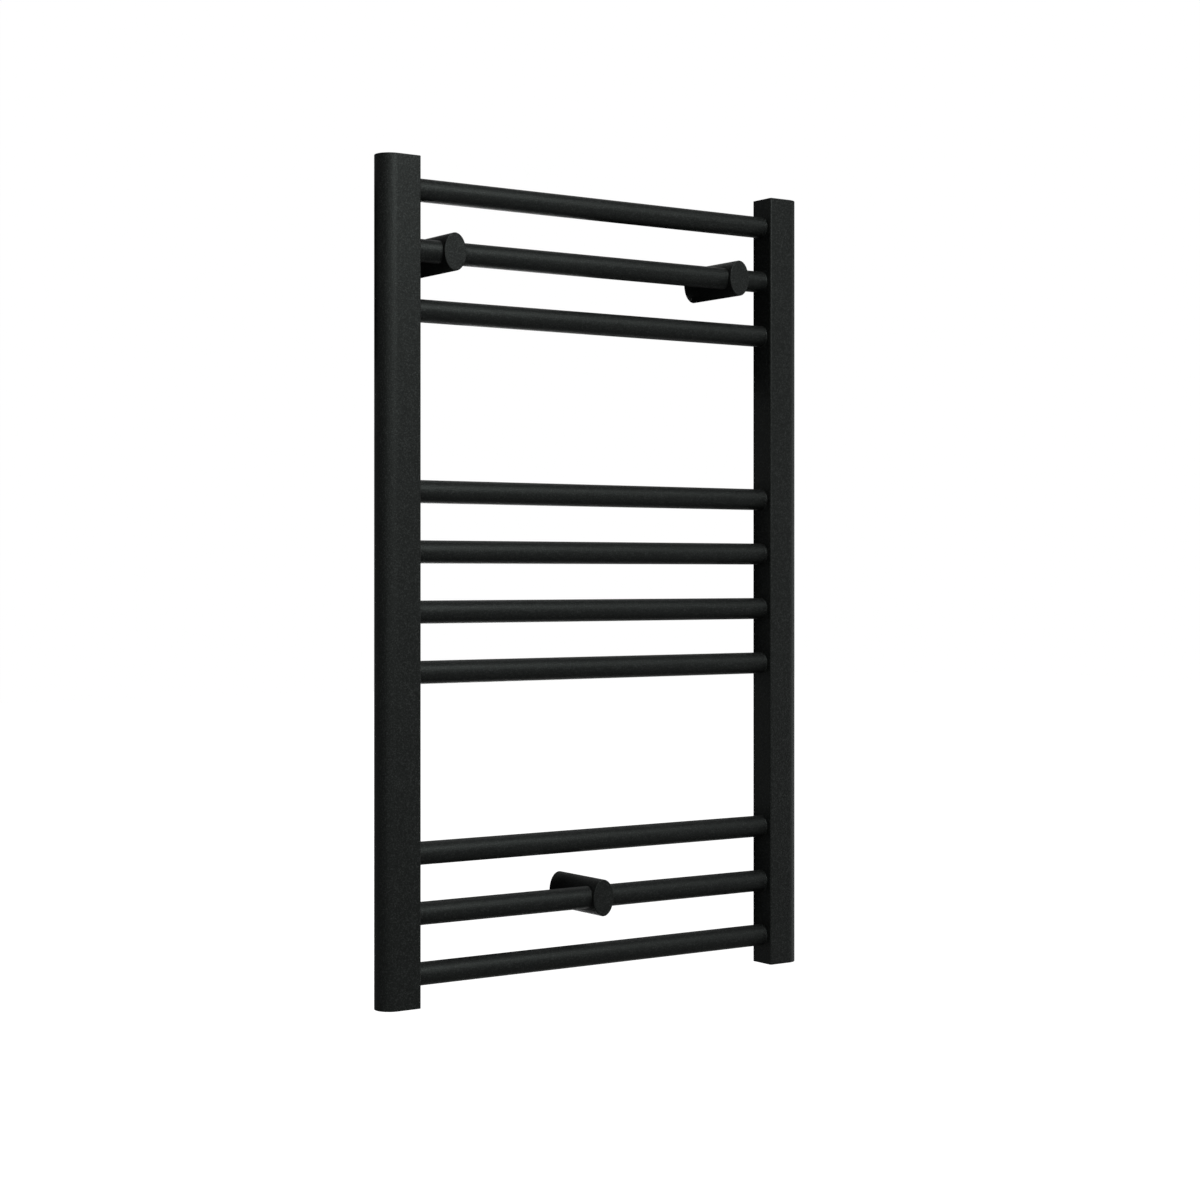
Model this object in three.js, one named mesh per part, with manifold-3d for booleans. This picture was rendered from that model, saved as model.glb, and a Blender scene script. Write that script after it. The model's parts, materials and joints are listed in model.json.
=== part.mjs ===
// Wall-mounted ladder towel warmer: two D-section uprights, ten round cross bars in groups
// of three, four and three, and three oval stand-off brackets that set it off the wall.
// Millimetres, +Z up, X across the wall. The origin is the centre of the lower bracket's
// wall face, and the rack stands off towards -Y.

import * as THREE from "three";
import { mergeVertices } from "three/addons/utils/BufferGeometryUtils.js";
import Module from "manifold-3d";

const wasm = await Module();
wasm.setup();

// ---------------------------------------------------------------- driving dimensions

const RACK_WIDTH = 500; // over both uprights
const BAR_PITCH = 57; // between neighbouring bars of one group
const BAR_GROUPS = [3, 4, 3]; // bars in each group, from the top
const GROUP_STEP = 3; // pitches between the last bar of a group and the next group
const END_MARGIN = 29.5; // upright's end to the nearest bar's axis
const WALL_TO_BAR = 66; // wall face to the bars' axes

const UPRIGHT_WIDTH = 40; // flat inner side to the crown of the round outer side
const UPRIGHT_DEPTH = 30; // flat front to flat back
const UPRIGHT_WALL = 1.5;
const UPRIGHT_CORNER = 1.8; // radius of the two inner corners
const BAR_SETBACK = 17; // upright's front face to the bars' axes

const BAR_RADIUS = 11;
const BAR_WALL = 1.2;
const BAR_ENTRY = 2; // how far a bar reaches past the upright's inner side

const UPPER_BRACKET_STEP = 1; // pitches from the top bar to the upper brackets' bar
const LOWER_BRACKET_STEP = 12;
const UPPER_BRACKET_X = 171;

const POST_HALF_X = 12; // half width of the oval bracket
const POST_HALF_Z = 18.2; // half height of the oval bracket
const CAP_BEYOND_BAR = 14.4; // bar's axis to the bracket's flat front disc
const SLEEVE_CAVITY_INSET = 2; // wall of the sleeve
const SLEEVE_CAVITY_DEPTH = 50;
const WALL_POST_LENGTH = 40;
const WALL_POST_WALL = 2.2;
const WALL_POST_BASE = 4;
const WALL_SCREW_RADIUS = 2.2;
const WALL_SCREW_Z = 8;

const GAP = 0.3; // clearance between neighbouring pieces

// Clamp screws, M2.5, that draw the cap onto the bar
const CLAMP_Z = 13.9;
const CLAMP_HOLE_RADIUS = 1.5;
const CLAMP_RADIUS = 1.2;
const CLAMP_HEAD_RADIUS = 2.1;
const CLAMP_HEAD_HEIGHT = 2.7;
const CLAMP_TIP = 74.7; // wall face to the tip of the 25 mm screw
const CLAMP_HOLE_END = 75.5;
const CLAMP_KEY = { acrossFlats: 2, depth: 1.4 };

// Grub screw, M4, that locks the sleeve on its wall post from below
const GRUB_FROM_WALL = 12;
const GRUB_RADIUS = 1.9;
const GRUB_RECESS = 0.2;
const GRUB_LENGTH = 3;
const GRUB_KEY = { acrossFlats: 2, depth: 1.4 };
const KEYWAY = { width: 5, depth: 1.2, start: 8 };

// Ports: G1/2 below and behind the top of each upright
const PORT_RADIUS = 9.3; // core of the G1/2 thread
const PORT_PLUG_LENGTH = 12;
const END_PLATE_THICKNESS = 3;
const BOSS_RADIUS = 12;
const BOSS_BORE_RADIUS = 10.4;
const BOSS_PROUD = 1;
const BOSS_LENGTH = 9;
const BOSS_X = 15.5; // upright's inner side to the rear port's axis
const BOSS_BELOW_TOP = 16;
const SHANK_RADIUS = 10.1; // G1/2 thread of the vent and of the blanking plug
const SHANK_LENGTH = 9.6;
const SEAL_THICKNESS = 1;
const SEAL_OUTER_RADIUS = 11.8;

// Air vent
const VENT_HEX = 20; // across flats
const VENT_FLANGE = 3;
const VENT_NECK_RADIUS = 6.2;
const VENT_LIP_RADIUS = 6.9;
const VENT_LIP = 0.6;
const VENT_BORE_RADIUS = 2.8;
const NOZZLE_RADIUS = 8.8;
const NOZZLE_BORE_RADIUS = 6.5;
const NOZZLE_LENGTH = 3.2;
const SPOUT = { radius: 1.6, bore: 0.8, from: 7.6, to: 11.5 };
const SPINDLE_RADIUS = 2.5;
const SPINDLE_BURIED = 16;
const SPINDLE_SQUARE = 5;
const SPINDLE_SQUARE_LENGTH = 3;

// Blanking plug
const PLUG_FLANGE_RADIUS = 11;
const PLUG_FLANGE = 2.5;
const PLUG_KEY = { acrossFlats: 10, depth: 5 };

const ROUND_SIDES = 24; // sides of a bar and of the ports
const SMALL_SIDES = 12; // sides of a screw
const OVAL_SIDES = 32;
const HEX_SIDES = 6;
const CUT_PAST = 2; // how far a cutter runs past the face it opens

// ---------------------------------------------------------------- worked-out dimensions

const INNER_HALF = RACK_WIDTH / 2 - UPRIGHT_WIDTH; // X of the uprights' flat inner sides
const FRONT = WALL_TO_BAR + BAR_SETBACK; // wall face to the uprights' front
const BACK = FRONT - UPRIGHT_DEPTH; // wall face to the uprights' back
const UPRIGHT_CENTRE = (FRONT + BACK) / 2;
const LAST_STEP = BAR_GROUPS.reduce((sum, count) => sum + count - 1, 0)
  + GROUP_STEP * (BAR_GROUPS.length - 1);
const TOP = LOWER_BRACKET_STEP * BAR_PITCH + END_MARGIN;
const BOTTOM = TOP - LAST_STEP * BAR_PITCH - 2 * END_MARGIN;
const BOSS_REAR = BACK - BOSS_PROUD;
const FLANGE_FRONT = BOSS_REAR - 2 * GAP - SEAL_THICKNESS;

/** Height of the bar that is a number of pitches below the top bar. */
function levelAt(step) {
  return (LOWER_BRACKET_STEP - step) * BAR_PITCH;
}

/** Heights of all the bars, from the top. */
function barLevels() {
  const levels = [];
  let step = 0;
  for (const count of BAR_GROUPS) {
    for (let bar = 0; bar < count; bar += 1) {
      levels.push(levelAt(step + bar));
    }
    step += count - 1 + GROUP_STEP;
  }
  return levels;
}

// ---------------------------------------------------------------- shape tools

/** A closed geometry as a solid that can be joined and cut. */
function solidOf(geometry) {
  const bare = geometry.clone();
  bare.deleteAttribute("normal");
  bare.deleteAttribute("uv");
  const merged = mergeVertices(bare);
  const corners = merged.index.array;
  const triangles = [];
  for (let at = 0; at < corners.length; at += 3) {
    const [a, b, c] = corners.slice(at, at + 3);
    if (a !== b && b !== c && c !== a) {
      triangles.push(a, b, c);
    }
  }
  return new wasm.Manifold(new wasm.Mesh({
    numProp: 3,
    vertProperties: new Float32Array(merged.attributes.position.array),
    triVerts: new Uint32Array(triangles),
  }));
}

function geometryOf(solid) {
  const mesh = solid.getMesh();
  const geometry = new THREE.BufferGeometry();
  geometry.setAttribute("position", new THREE.BufferAttribute(mesh.vertProperties, 3));
  geometry.setIndex(new THREE.BufferAttribute(mesh.triVerts, 1));
  return geometry;
}

function cut(body, ...tools) {
  return geometryOf(tools.reduce((left, tool) => left.subtract(solidOf(tool)), solidOf(body)));
}

function join(...pieces) {
  return geometryOf(pieces.map(solidOf).reduce((sum, piece) => sum.add(piece)));
}

/** Points of an arc, from one angle to another in quarter turns. */
function arc(x, y, radius, fromQuarter, toQuarter, steps) {
  const points = [];
  for (let step = 0; step <= steps; step += 1) {
    const angle = (Math.PI / 2) * (fromQuarter + ((toQuarter - fromQuarter) * step) / steps);
    points.push(new THREE.Vector2(x + radius * Math.cos(angle), y + radius * Math.sin(angle)));
  }
  return points;
}

/** D section with its flat inner side at x = 0 and its crown away from the rack's middle. */
function dOutline(side, inset) {
  const half = UPRIGHT_DEPTH / 2 - inset;
  const corner = Math.max(UPRIGHT_CORNER - inset, GAP);
  const inner = inset + corner;
  const points = [
    ...arc(inner, -half + corner, corner, 2, 3, 3),
    ...arc(UPRIGHT_WIDTH - UPRIGHT_DEPTH / 2, 0, half, -1, 1, 16),
    ...arc(inner, half - corner, corner, 1, 2, 3),
  ];
  return new THREE.Shape(points.map((point) => new THREE.Vector2(side * point.x, point.y)));
}

function ovalOutline(inset) {
  const points = [];
  for (let corner = 0; corner < OVAL_SIDES; corner += 1) {
    const angle = (2 * Math.PI * corner) / OVAL_SIDES;
    const x = (POST_HALF_X - inset) * Math.cos(angle);
    const z = (POST_HALF_Z - inset) * Math.sin(angle);
    points.push(new THREE.Vector2(x, z));
  }
  return new THREE.Shape(points);
}

/** An outline raised along Z, from one height to another. */
function upright(outline, from, to) {
  const prism = new THREE.ExtrudeGeometry(outline, { depth: to - from, bevelEnabled: false });
  return prism.translate(0, 0, from);
}

/** An outline drawn out of the wall, between two distances from the wall. */
function standOff(outline, from, to) {
  return upright(outline, from, to).rotateX(Math.PI / 2);
}

/** Rods are cylinders along X, Y or Z. Those along Y are placed by distance from the wall. */
function rodAlongX(radius, from, to, y, z, sides = ROUND_SIDES) {
  const rod = new THREE.CylinderGeometry(radius, radius, to - from, sides);
  return rod.rotateZ(Math.PI / 2).translate((from + to) / 2, y, z);
}

function rodOffWall(radius, from, to, x, z, sides = ROUND_SIDES) {
  const rod = new THREE.CylinderGeometry(radius, radius, to - from, sides);
  return rod.translate(x, -(from + to) / 2, z);
}

function rodAlongZ(radius, from, to, x, y, sides = ROUND_SIDES) {
  const rod = new THREE.CylinderGeometry(radius, radius, to - from, sides);
  return rod.rotateX(Math.PI / 2).translate(x, y, (from + to) / 2);
}

function hexRadius(acrossFlats) {
  return acrossFlats / Math.sqrt(3);
}

// ---------------------------------------------------------------- materials

const POWDER_COAT = { color: 0x1d1f1e, roughness: 0.62, metalness: 0.0 };
const ZINC = { color: 0xa9abad, roughness: 0.4, metalness: 1.0 };
const BLACK_STEEL = { color: 0x202123, roughness: 0.45, metalness: 0.8 };
const NICKEL = { color: 0xc4c2bd, roughness: 0.22, metalness: 1.0 };
const BRASS = { color: 0xb58d4c, roughness: 0.35, metalness: 1.0 };
const NYLON = { color: 0x18191a, roughness: 0.5, metalness: 0.0 };
const RUBBER = { color: 0x121212, roughness: 0.8, metalness: 0.0 };

/** A named mesh with flat faces and a material of its own. */
function part(name, geometry, look) {
  const faceted = geometry.index ? geometry.toNonIndexed() : geometry;
  faceted.computeVertexNormals();
  const mesh = new THREE.Mesh(faceted, new THREE.MeshStandardMaterial(look));
  mesh.name = name;
  return mesh;
}

// ---------------------------------------------------------------- uprights and their ends

/** Hollow upright: drilled for every bar, and once behind its top for the rear port. */
function uprightTube(side) {
  const holes = barLevels().map((z) => rodAlongX(
    BAR_RADIUS + GAP, -CUT_PAST, UPRIGHT_WALL + CUT_PAST, UPRIGHT_CENTRE - WALL_TO_BAR, z,
  ));
  const rearPort = rodOffWall(
    BOSS_RADIUS + GAP, -UPRIGHT_DEPTH / 2 - CUT_PAST, BOSS_LENGTH - UPRIGHT_DEPTH / 2,
    side * BOSS_X, TOP - BOSS_BELOW_TOP,
  );
  const outside = upright(dOutline(side, 0), BOTTOM, TOP);
  const inside = upright(dOutline(side, UPRIGHT_WALL), BOTTOM - CUT_PAST, TOP + CUT_PAST);
  return cut(outside, inside, ...holes, rearPort);
}

function topPlate(side) {
  return upright(dOutline(side, UPRIGHT_WALL + GAP), TOP - END_PLATE_THICKNESS, TOP);
}

/** Insert that closes the upright's lower end and carries the G1/2 valve port. */
function portPlug(side) {
  const insert = upright(dOutline(side, UPRIGHT_WALL + GAP), BOTTOM, BOTTOM + PORT_PLUG_LENGTH);
  const from = BOTTOM - CUT_PAST;
  const to = BOTTOM + PORT_PLUG_LENGTH + CUT_PAST;
  return cut(insert, rodAlongZ(PORT_RADIUS, from, to, (side * UPRIGHT_WIDTH) / 2, 0));
}

function makeUpright(side, word) {
  const group = new THREE.Group();
  group.position.set(side * INNER_HALF, -UPRIGHT_CENTRE, 0);
  group.add(part(`upright_${word}`, uprightTube(side), POWDER_COAT));
  group.add(part(`top_plate_${word}`, topPlate(side), POWDER_COAT));
  group.add(part(`port_plug_${word}`, portPlug(side), POWDER_COAT));
  return group;
}

// ---------------------------------------------------------------- cross bars

function makeBars() {
  const group = new THREE.Group();
  const end = INNER_HALF + BAR_ENTRY;
  barLevels().forEach((z, index) => {
    const tube = cut(
      rodAlongX(BAR_RADIUS, -end, end, -WALL_TO_BAR, z),
      rodAlongX(BAR_RADIUS - BAR_WALL, -end - CUT_PAST, end + CUT_PAST, -WALL_TO_BAR, z),
    );
    const number = String(index + 1).padStart(2, "0");
    group.add(part(`bar_${number}`, tube, POWDER_COAT));
  });
  return group;
}

// ---------------------------------------------------------------- rear ports

/** Threaded ring welded into the back of the upright, a little proud of it. */
function rearBoss() {
  return cut(
    rodOffWall(BOSS_RADIUS, BOSS_REAR, BOSS_REAR + BOSS_LENGTH, 0, 0),
    rodOffWall(BOSS_BORE_RADIUS, BOSS_REAR - CUT_PAST, FRONT, 0, 0),
  );
}

function seal() {
  const from = BOSS_REAR - GAP - SEAL_THICKNESS;
  return cut(
    rodOffWall(SEAL_OUTER_RADIUS, from, from + SEAL_THICKNESS, 0, 0),
    rodOffWall(BOSS_BORE_RADIUS, from - CUT_PAST, from + SEAL_THICKNESS + CUT_PAST, 0, 0),
  );
}

/** Vent body: threaded shank, hexagon, and a neck with a lip that keeps the nozzle on. */
function ventBody() {
  const hexBack = FLANGE_FRONT - VENT_FLANGE;
  const neckBack = hexBack - GAP - NOZZLE_LENGTH - GAP;
  const body = join(
    rodOffWall(SHANK_RADIUS, FLANGE_FRONT - GAP, FLANGE_FRONT + SHANK_LENGTH, 0, 0),
    rodOffWall(hexRadius(VENT_HEX), hexBack, FLANGE_FRONT, 0, 0, HEX_SIDES),
    rodOffWall(VENT_NECK_RADIUS, neckBack, hexBack + GAP, 0, 0),
    rodOffWall(VENT_LIP_RADIUS, neckBack - VENT_LIP, neckBack, 0, 0),
  );
  return cut(body, rodOffWall(VENT_BORE_RADIUS, 0, FRONT, 0, 0, SMALL_SIDES));
}

/** Loose collar with a small spout, turned to aim the drips. */
function ventNozzle() {
  const front = FLANGE_FRONT - VENT_FLANGE - GAP;
  const back = front - NOZZLE_LENGTH;
  const middle = -(front + back) / 2;
  const ring = rodOffWall(NOZZLE_RADIUS, back, front, 0, 0);
  const spout = rodAlongZ(SPOUT.radius, -SPOUT.to, -SPOUT.from, 0, middle, SMALL_SIDES);
  return cut(
    join(ring, spout),
    rodOffWall(NOZZLE_BORE_RADIUS, back - CUT_PAST, front + CUT_PAST, 0, 0),
    rodAlongZ(SPOUT.bore, -SPOUT.to - CUT_PAST, 0, 0, middle, SMALL_SIDES),
  );
}

/** Square-ended screw in the vent's middle. */
function ventSpindle() {
  const squareFrom = FLANGE_FRONT - VENT_FLANGE - 2 * GAP - NOZZLE_LENGTH - VENT_LIP - GAP;
  const squareBack = squareFrom - SPINDLE_SQUARE_LENGTH;
  const square = new THREE.BoxGeometry(SPINDLE_SQUARE, SPINDLE_SQUARE_LENGTH, SPINDLE_SQUARE);
  square.translate(0, -(squareFrom + squareBack) / 2, 0);
  const stem = rodOffWall(
    SPINDLE_RADIUS, squareFrom - GAP, squareFrom + SPINDLE_BURIED, 0, 0, SMALL_SIDES,
  );
  return join(square, stem);
}

function blankingPlug() {
  const back = FLANGE_FRONT - PLUG_FLANGE;
  const plug = join(
    rodOffWall(SHANK_RADIUS, FLANGE_FRONT - GAP, FLANGE_FRONT + SHANK_LENGTH, 0, 0),
    rodOffWall(PLUG_FLANGE_RADIUS, back, FLANGE_FRONT, 0, 0),
  );
  const key = rodOffWall(
    hexRadius(PLUG_KEY.acrossFlats), back - CUT_PAST, back + PLUG_KEY.depth, 0, 0, HEX_SIDES,
  );
  return cut(plug, key);
}

function rearPort(side) {
  const group = new THREE.Group();
  group.position.set(side * (INNER_HALF + BOSS_X), 0, TOP - BOSS_BELOW_TOP);
  return group;
}

function makeVent() {
  const group = rearPort(-1);
  group.add(part("vent_boss", rearBoss(), POWDER_COAT));
  group.add(part("vent_seal", seal(), RUBBER));
  group.add(part("vent_body", ventBody(), NICKEL));
  group.add(part("vent_nozzle", ventNozzle(), NYLON));
  group.add(part("vent_spindle", ventSpindle(), BRASS));
  return group;
}

function makeBlankingPlug() {
  const group = rearPort(1);
  group.add(part("blanking_boss", rearBoss(), POWDER_COAT));
  group.add(part("blanking_seal", seal(), RUBBER));
  group.add(part("blanking_plug", blankingPlug(), NICKEL));
  return group;
}

// ---------------------------------------------------------------- wall brackets

function barSaddle() {
  return rodAlongX(BAR_RADIUS + GAP, -2 * POST_HALF_X, 2 * POST_HALF_X, -WALL_TO_BAR, 0);
}

function clampHoles() {
  return [CLAMP_Z, -CLAMP_Z].map((z) => rodOffWall(
    CLAMP_HOLE_RADIUS, SLEEVE_CAVITY_DEPTH - CUT_PAST, CLAMP_HOLE_END, 0, z, SMALL_SIDES,
  ));
}

/** Oval cup screwed to the wall, with a keyway below for the grub screw's tip. */
function wallPost() {
  const outside = SLEEVE_CAVITY_INSET + GAP;
  const shell = standOff(ovalOutline(outside), 0, WALL_POST_LENGTH);
  const hollow = standOff(
    ovalOutline(outside + WALL_POST_WALL), WALL_POST_BASE, WALL_POST_LENGTH + CUT_PAST,
  );
  const screwHoles = [WALL_SCREW_Z, -WALL_SCREW_Z].map((z) => rodOffWall(
    WALL_SCREW_RADIUS, -CUT_PAST, WALL_POST_BASE + CUT_PAST, 0, z, SMALL_SIDES,
  ));
  const keywayLength = WALL_POST_LENGTH + CUT_PAST - KEYWAY.start;
  const keyway = new THREE.BoxGeometry(KEYWAY.width, keywayLength, 2 * KEYWAY.depth);
  keyway.translate(0, -(KEYWAY.start + keywayLength / 2), -(POST_HALF_Z - outside));
  return cut(shell, hollow, ...screwHoles, keyway);
}

/** Outer sleeve: slides over the wall post and cradles the bar's rear half. */
function sleeve() {
  const body = standOff(ovalOutline(0), GAP, WALL_TO_BAR - GAP / 2);
  const cavity = standOff(ovalOutline(SLEEVE_CAVITY_INSET), -CUT_PAST, SLEEVE_CAVITY_DEPTH);
  const grubHole = rodAlongZ(
    GRUB_RADIUS + GAP, -POST_HALF_Z - CUT_PAST, -POST_HALF_Z / 2, 0, -GRUB_FROM_WALL, SMALL_SIDES,
  );
  return cut(body, cavity, barSaddle(), ...clampHoles(), grubHole);
}

/** Front cap: holds the bar's front half and ends in the flat disc. */
function cap() {
  const front = WALL_TO_BAR + CAP_BEYOND_BAR;
  const body = standOff(ovalOutline(0), WALL_TO_BAR + GAP / 2, front);
  return cut(body, barSaddle(), ...clampHoles());
}

/** Screw whose head bears on the sleeve's inner step and whose tip is in the cap. */
function clampScrew() {
  const headTop = SLEEVE_CAVITY_DEPTH - GAP;
  const headBack = headTop - CLAMP_HEAD_HEIGHT;
  const screw = join(
    rodOffWall(CLAMP_HEAD_RADIUS, headBack, headTop, 0, 0, SMALL_SIDES),
    rodOffWall(CLAMP_RADIUS, headTop - GAP, CLAMP_TIP, 0, 0, SMALL_SIDES),
  );
  const key = rodOffWall(
    hexRadius(CLAMP_KEY.acrossFlats), headBack - CUT_PAST, headBack + CLAMP_KEY.depth,
    0, 0, HEX_SIDES,
  );
  return cut(screw, key);
}

function grubScrew() {
  const bottom = -POST_HALF_Z + GRUB_RECESS;
  const screw = rodAlongZ(
    GRUB_RADIUS, bottom, bottom + GRUB_LENGTH, 0, -GRUB_FROM_WALL, SMALL_SIDES,
  );
  const key = rodAlongZ(
    hexRadius(GRUB_KEY.acrossFlats), bottom - CUT_PAST, bottom + GRUB_KEY.depth,
    0, -GRUB_FROM_WALL, HEX_SIDES,
  );
  return cut(screw, key);
}

function makeBracket(word, x, z) {
  const group = new THREE.Group();
  group.position.set(x, 0, z);
  group.add(part(`wall_post_${word}`, wallPost(), ZINC));
  group.add(part(`sleeve_${word}`, sleeve(), POWDER_COAT));
  group.add(part(`cap_${word}`, cap(), POWDER_COAT));
  group.add(part(`grub_screw_${word}`, grubScrew(), BLACK_STEEL));
  for (const [place, height] of [["top", CLAMP_Z], ["bottom", -CLAMP_Z]]) {
    const screw = part(`clamp_screw_${word}_${place}`, clampScrew(), ZINC);
    screw.position.set(0, 0, height);
    group.add(screw);
  }
  return group;
}

// ---------------------------------------------------------------- assembly

const rack = new THREE.Group();
rack.add(makeUpright(-1, "left"));
rack.add(makeUpright(1, "right"));
rack.add(makeBars());
rack.add(makeVent());
rack.add(makeBlankingPlug());
rack.add(makeBracket("upper_left", -UPPER_BRACKET_X, levelAt(UPPER_BRACKET_STEP)));
rack.add(makeBracket("upper_right", UPPER_BRACKET_X, levelAt(UPPER_BRACKET_STEP)));
rack.add(makeBracket("lower", 0, levelAt(LOWER_BRACKET_STEP)));

export default rack;
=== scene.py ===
"""Looks of a wall-mounted ladder towel warmer in fine-textured black powder coat.

Every piece is rebuilt at full fineness on the CAD frame: D uprights, welded bars, oval brackets,
threaded ports, the air vent and the blanking plug. Metres, +Z up, wall at Y = 0, rack towards -Y.
"""

import json
import math

import bmesh
import bpy
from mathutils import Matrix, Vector


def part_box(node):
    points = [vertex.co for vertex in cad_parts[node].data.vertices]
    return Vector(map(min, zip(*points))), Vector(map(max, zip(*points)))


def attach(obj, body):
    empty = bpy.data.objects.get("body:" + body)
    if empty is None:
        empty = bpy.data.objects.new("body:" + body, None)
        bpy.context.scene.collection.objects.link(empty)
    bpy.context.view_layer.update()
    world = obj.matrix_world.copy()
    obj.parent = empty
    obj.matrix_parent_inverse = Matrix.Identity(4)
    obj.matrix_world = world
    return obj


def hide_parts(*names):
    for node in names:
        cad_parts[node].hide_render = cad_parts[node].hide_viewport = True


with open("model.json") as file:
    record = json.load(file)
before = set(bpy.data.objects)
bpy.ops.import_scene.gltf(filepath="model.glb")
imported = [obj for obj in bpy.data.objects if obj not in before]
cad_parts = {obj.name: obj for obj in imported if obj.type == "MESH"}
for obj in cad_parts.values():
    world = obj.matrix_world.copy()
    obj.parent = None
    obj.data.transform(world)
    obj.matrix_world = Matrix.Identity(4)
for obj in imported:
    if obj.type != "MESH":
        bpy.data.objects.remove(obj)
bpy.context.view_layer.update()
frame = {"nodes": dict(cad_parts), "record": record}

MM = 0.001

# ---------------------------------------------------------------- sizes read from the frame

UPRIGHT_LOW, UPRIGHT_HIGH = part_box("upright_right")
BAR_LOW, BAR_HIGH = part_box("bar_01")
CAP_LOW, CAP_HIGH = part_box("cap_lower")
SLEEVE_LOW, SLEEVE_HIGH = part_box("sleeve_lower")
POST_LOW, POST_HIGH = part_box("wall_post_lower")
CLAMP_LOW, CLAMP_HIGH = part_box("clamp_screw_lower_top")
GRUB_LOW, GRUB_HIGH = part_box("grub_screw_lower")
PORT_LOW, PORT_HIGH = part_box("port_plug_right")
PLATE_LOW, PLATE_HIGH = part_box("top_plate_right")
BOSS_LOW, BOSS_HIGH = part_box("blanking_boss")
SEAL_LOW, SEAL_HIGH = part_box("blanking_seal")
PLUG_LOW, PLUG_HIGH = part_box("blanking_plug")
VENT_LOW, VENT_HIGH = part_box("vent_body")
NOZZLE_LOW, NOZZLE_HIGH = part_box("vent_nozzle")
SPINDLE_LOW, SPINDLE_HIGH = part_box("vent_spindle")

TOP, BOTTOM = UPRIGHT_HIGH.z, UPRIGHT_LOW.z
INNER_SIDE = UPRIGHT_LOW.x
UPRIGHT_WIDTH = UPRIGHT_HIGH.x - UPRIGHT_LOW.x
UPRIGHT_DEPTH = UPRIGHT_HIGH.y - UPRIGHT_LOW.y
UPRIGHT_Y = (UPRIGHT_LOW.y + UPRIGHT_HIGH.y) / 2
BACK = UPRIGHT_HIGH.y
BAR_RADIUS = (BAR_HIGH.z - BAR_LOW.z) / 2
BAR_Y = (BAR_LOW.y + BAR_HIGH.y) / 2
BAR_END = BAR_HIGH.x
OVAL_X = (CAP_HIGH.x - CAP_LOW.x) / 2
OVAL_Z = (CAP_HIGH.z - CAP_LOW.z) / 2
BAR_NAMES = sorted(name for name in frame["nodes"] if name.startswith("bar_"))
SLOTS = {part["node"]: part["material_slot"] for part in frame["record"]["subparts"]}
BRACKETS = ("upper_left", "upper_right", "lower")

# ---------------------------------------------------------------- sizes of fine detail

CORNER_RADIUS = 1.8 * MM
TUBE_WALL = 1.5 * MM
TUBE_EDGE = 0.45 * MM
BAR_WALL = 1.2 * MM
WELD_SIZE = 0.9 * MM
SEAM = 0.05 * MM  # between a bracket's cap and its sleeve
SADDLE_GAP = 0.06 * MM
DISC_EDGE = 0.7 * MM
SLEEVE_REAR_EDGE = 0.5 * MM
SLEEVE_WALL = 2.0 * MM
SLEEVE_CAVITY = 50 * MM
PORT_MINOR = 9.3 * MM
PORT_MAJOR = 10.45 * MM
PORT_PITCH = 1.814 * MM
PORT_MOUTH = 10.8 * MM
POST_WALL = 2.2 * MM
POST_BASE = 4.0 * MM
WALL_SCREW_RADIUS = 2.2 * MM
WALL_SCREW_HEAD = 4.1 * MM
WALL_SCREW_Z = 8.0 * MM
KEYWAY_WIDTH = 5.0 * MM
KEYWAY_DEPTH = 1.2 * MM
KEYWAY_START = 8.0 * MM

OVERRUN = 1.0 * MM  # how far a cutting tool runs past the surface it cuts
INSERT_GAP = 0.08 * MM  # round the plates and inserts in the uprights' ends
INSERT_EDGE = 0.25 * MM
WELD_FOOT = 0.05 * MM  # between a weld and the upright's face
PORT_LEAD = 0.8 * MM  # plain mouth before a port's thread

CLAMP_DRILL = 1.5 * MM
CLAMP_ROOM = 0.5 * MM  # free bore past a clamp screw's tip
CLAMP_HEAD = 2.7 * MM
CLAMP_EDGE = 0.25 * MM
CLAMP_TAPER = 0.4 * MM
CLAMP_PITCH = 0.45 * MM
CLAMP_MINOR = 0.98 * MM
CLAMP_MAJOR = 1.25 * MM
CLAMP_TIP = 0.7 * MM
GRUB_GAP = 0.15 * MM
GRUB_PITCH = 0.7 * MM
GRUB_THREAD = 0.38 * MM
GRUB_RIM = 0.3 * MM
GRUB_LEAD = 0.1 * MM
GRUB_TAPER = 0.5 * MM
GRUB_TIP = 0.8 * MM
KEY_FLATS = 2.0 * MM
KEY_DEPTH = 1.4 * MM
POST_EDGE = 0.3 * MM

BOSS_BORE = 10.4 * MM
BOSS_EDGE = 0.3 * MM
BOSS_GAP = 0.02 * MM
THREAD_TIP = 8.9 * MM
THREAD_LEAD = 0.6 * MM
THREAD_MINOR = 9.25 * MM
THREAD_MAJOR = 10.1 * MM
THREAD_END = 0.3 * MM  # from the last turn to the flange
SHANK_RADIUS = 9.4 * MM
FLANGE_DEPTH = 2.5 * MM
FLANGE_EDGE = 0.6 * MM
FLANGE_HEEL = 0.2 * MM
PLUG_KEY_FLATS = 10.0 * MM
PLUG_KEY_DEPTH = 5.0 * MM
PLUG_MOUTH = ((0.5 * MM, 7.0 * MM), (-1.2 * MM, 5.1 * MM))

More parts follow.
